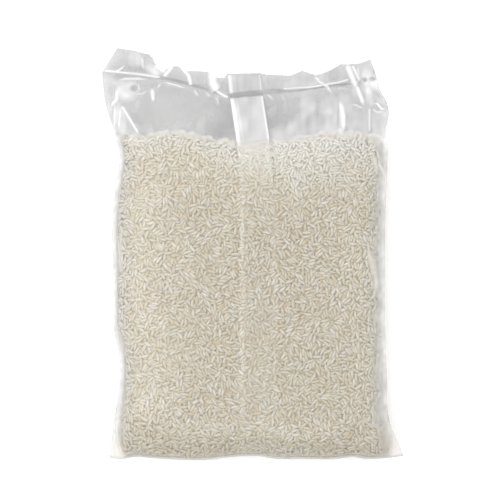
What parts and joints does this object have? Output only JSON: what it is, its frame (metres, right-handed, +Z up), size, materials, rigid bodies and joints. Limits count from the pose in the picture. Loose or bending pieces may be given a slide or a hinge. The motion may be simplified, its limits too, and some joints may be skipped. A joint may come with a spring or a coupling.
{
  "type": "bag of rice",
  "caption": "Shut clear-film pillow bag filled with long-grain white rice, lying on its back, with a wavy sealed fin at the top and a lengthwise seam strip.",
  "frame": {"origin": "middle of the bag's box, on the floor that its flat underside rests on", "axes": "+Z up, out of the shown side with the seam strip; +Y towards the sealed fin at the top end; +X across the bag to the right as seen from above with the fin up"},
  "size_m": [0.1994, 0.2706, 0.0399],
  "materials": {
    "rice_under_film": "clear glossy film over pale rice"
  },
  "bodies": {
    "root": {"rice_bag": "rice_under_film"}
  },
  "joints": []
}
